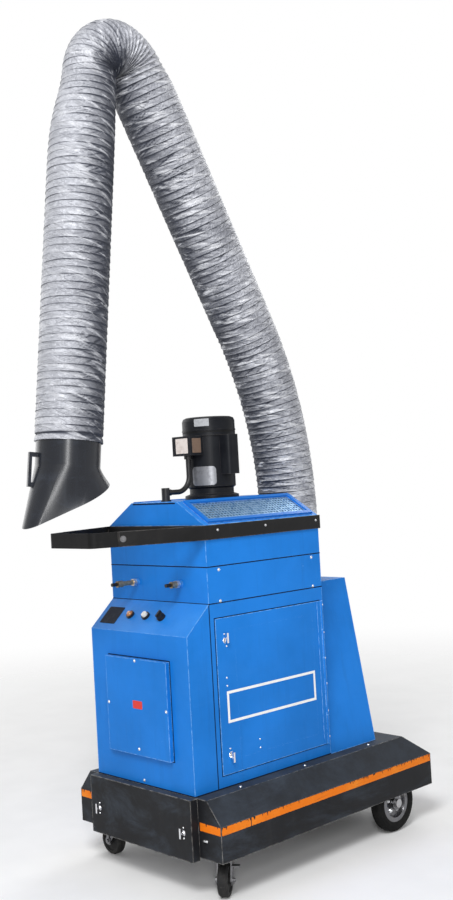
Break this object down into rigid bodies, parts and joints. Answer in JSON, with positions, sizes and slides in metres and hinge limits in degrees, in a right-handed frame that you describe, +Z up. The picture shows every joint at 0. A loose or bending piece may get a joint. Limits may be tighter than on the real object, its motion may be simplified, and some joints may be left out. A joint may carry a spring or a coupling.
{
  "type": "mobile welding fume extractor",
  "caption": "Wheeled filter cabinet with a dust drawer, side door, top blower motor, push handle and a jointed fabric-hose arm that carries a flared fume hood.",
  "frame": {"origin": "on the floor, under the middle of the whole part's bounding box", "axes": "+Z up, +X towards the side door, -Y towards the front with the push handle"},
  "size_m": [0.72, 1.4746, 2.8648],
  "materials": {
    "chassis_black": "semi-gloss enamel, scuffed",
    "cabinet_blue": "semi-gloss enamel, fine texture",
    "motor_black": "gloss enamel",
    "bare_steel": "plain",
    "latch_chrome": "polished",
    "rim_chrome": "plated",
    "tyre_black": "matte",
    "caster_rubber": "matte",
    "brass": "machined",
    "lamp_lens": "translucent moulding",
    "button_white": "moulded",
    "control_black": "moulded",
    "hose_fabric": "coated cloth with ring pleats",
    "filter_paper": "pleated",
    "hood_black": "glossy",
    "conduit_grey": "ribbed",
    "tank_metal": "plain"
  },
  "bodies": {
    "cart": {"chassis_tub": "chassis_black", "axle_hangers": "chassis_black", "rear_axle": "bare_steel", "caster_plates": "bare_steel", "cabinet_shell": "cabinet_blue", "access_cover": "cabinet_blue", "plenum_module": "cabinet_blue", "blower_module": "cabinet_blue", "top_hood": "cabinet_blue", "exhaust_grille_left": "cabinet_blue", "exhaust_grille_right": "cabinet_blue", "rear_duct_housing": "cabinet_blue", "door_hinge_fixed": "bare_steel", "motor_frame": "motor_black", "motor_fan_cover": "motor_black", "motor_terminal_box": "motor_black", "motor_capacitor_cover": "motor_black", "motor_conduit": "conduit_grey", "push_rails": "chassis_black", "handle_grip": "chassis_black", "air_couplings": "brass", "indicator_lamp": "lamp_lens", "control_bezels": "control_black", "tube_sheet": "bare_steel", "filter_cartridge": "filter_paper", "pulse_air_header": "tank_metal", "arm_collar": "bare_steel"},
    "rear_wheel_left": {"rear_rim_left": "rim_chrome", "rear_tyre_left": "tyre_black"},
    "rear_wheel_right": {"rear_rim_right": "rim_chrome", "rear_tyre_right": "tyre_black"},
    "caster_left": {"caster_fork_left": "bare_steel"},
    "caster_right": {"caster_fork_right": "bare_steel"},
    "caster_roller_left": {"caster_wheel_left": "caster_rubber"},
    "caster_roller_right": {"caster_wheel_right": "caster_rubber"},
    "brake_left": {"brake_lever_left": "bare_steel"},
    "brake_right": {"brake_lever_right": "bare_steel"},
    "drawer": {"drawer_front": "chassis_black", "drawer_tray": "bare_steel"},
    "drawer_catch_left": {"drawer_latch_left": "latch_chrome"},
    "drawer_catch_right": {"drawer_latch_right": "latch_chrome"},
    "door": {"side_door": "cabinet_blue", "door_hinge_moving": "bare_steel"},
    "door_catch_upper": {"door_latch_upper": "latch_chrome"},
    "door_catch_lower": {"door_latch_lower": "latch_chrome"},
    "rotor": {"motor_shaft": "bare_steel", "blower_wheel": "tank_metal"},
    "button": {"push_button": "button_white"},
    "selector": {"selector_knob": "control_black"},
    "turret": {"arm_turret": "bare_steel", "hose_base": "hose_fabric"},
    "lower_link": {"lower_arm": "bare_steel", "hose_lower": "hose_fabric", "hose_shoulder": "hose_fabric"},
    "upper_link": {"upper_arm": "bare_steel", "hose_upper": "hose_fabric", "hose_elbow": "hose_fabric"},
    "hood_swing": {"hood_spool": "bare_steel", "hose_wrist": "hose_fabric"},
    "hood": {"hood_shell": "hood_black"}
  },
  "joints": [
    {"name": "rear_wheel_left_spin", "type": "hinge", "parent": "cart", "child": "rear_wheel_left", "pos_m": [-0.322, 0.5388, 0.1016], "axis": [1, 0, 0], "continuous": true},
    {"name": "caster_left_swivel", "type": "hinge", "parent": "cart", "child": "caster_left", "pos_m": [-0.274, -0.2402, 0.13], "axis": [0, 0, 1], "continuous": true},
    {"name": "caster_left_roll", "type": "hinge", "parent": "caster_left", "child": "caster_roller_left", "pos_m": [-0.308, -0.2402, 0.051], "axis": [0, 1, 0], "continuous": true},
    {"name": "brake_left_lever", "type": "hinge", "parent": "caster_left", "child": "brake_left", "pos_m": [-0.308, -0.2402, 0.051], "axis": [0, 1, 0], "range_deg": [-12, 25]},
    {"name": "drawer_latch_left_turn", "type": "hinge", "parent": "drawer", "child": "drawer_catch_left", "pos_m": [-0.216, -0.3637, 0.206], "axis": [0, -1, 0], "range_deg": [0, 90]},
    {"name": "rear_wheel_right_spin", "type": "hinge", "parent": "cart", "child": "rear_wheel_right", "pos_m": [0.322, 0.5388, 0.1016], "axis": [1, 0, 0], "continuous": true},
    {"name": "caster_right_swivel", "type": "hinge", "parent": "cart", "child": "caster_right", "pos_m": [0.274, -0.2402, 0.13], "axis": [0, 0, 1], "continuous": true},
    {"name": "caster_right_roll", "type": "hinge", "parent": "caster_right", "child": "caster_roller_right", "pos_m": [0.2935, -0.26805, 0.051], "axis": [-0.8192, -0.5736, 0], "continuous": true},
    {"name": "brake_right_lever", "type": "hinge", "parent": "caster_right", "child": "brake_right", "pos_m": [0.2935, -0.26805, 0.051], "axis": [-0.8192, -0.5736, 0], "range_deg": [-12, 25]},
    {"name": "drawer_latch_right_turn", "type": "hinge", "parent": "drawer", "child": "drawer_catch_right", "pos_m": [0.216, -0.3637, 0.206], "axis": [0, 1, 0], "range_deg": [0, 90]},
    {"name": "drawer_slide", "type": "slide", "parent": "cart", "child": "drawer", "axis": [0, -1, 0], "range_m": [0, 0.55]},
    {"name": "side_door_hinge", "type": "hinge", "parent": "cart", "child": "door", "pos_m": [0.253, 0.2948, 0.353], "axis": [0, 0, 1], "range_deg": [0, 110]},
    {"name": "door_latch_upper_turn", "type": "hinge", "parent": "door", "child": "door_catch_upper", "pos_m": [0.2518, -0.1722, 0.787], "axis": [-1, 0, 0], "range_deg": [0, 90]},
    {"name": "door_latch_lower_turn", "type": "hinge", "parent": "door", "child": "door_catch_lower", "pos_m": [0.2518, -0.1722, 0.405], "axis": [1, 0, 0], "range_deg": [0, 90]},
    {"name": "motor_spin", "type": "hinge", "parent": "cart", "child": "rotor", "pos_m": [0, 0.0368, 1.232], "axis": [0, 0, 1], "continuous": true},
    {"name": "button_press", "type": "slide", "parent": "cart", "child": "button", "axis": [0, 0.673, -0.7396], "range_m": [0, 0.004], "stiffness_N_per_m": 700},
    {"name": "selector_turn", "type": "hinge", "parent": "cart", "child": "selector", "pos_m": [0.072, -0.2837, 0.8555], "axis": [0, -0.673, 0.7396], "range_deg": [-45, 45]},
    {"name": "arm_swivel", "type": "hinge", "parent": "cart", "child": "turret", "pos_m": [0, 0.4213, 0.905], "axis": [0, 0, 1], "range_deg": [-170, 170]},
    {"name": "arm_shoulder", "type": "hinge", "parent": "turret", "child": "lower_link", "pos_m": [0, 0.4213, 1.52], "axis": [1, 0, 0], "range_deg": [-35, 4], "deforming": ["hose_shoulder"]},
    {"name": "arm_elbow", "type": "hinge", "parent": "lower_link", "child": "upper_link", "pos_m": [0, -0.33364, 2.73472], "axis": [-1, 0, 0], "range_deg": [-2, 115], "deforming": ["hose_elbow"]},
    {"name": "hood_tilt", "type": "hinge", "parent": "upper_link", "child": "hood_swing", "pos_m": [0, -0.56531, 1.4419], "axis": [1, 0, 0], "range_deg": [-40, 24], "deforming": ["hose_wrist"]},
    {"name": "hood_swivel", "type": "hinge", "parent": "hood_swing", "child": "hood", "pos_m": [0, -0.56531, 1.4419], "axis": [0, 0.1132, 0.9936], "range_deg": [-175, 175]}
  ]
}
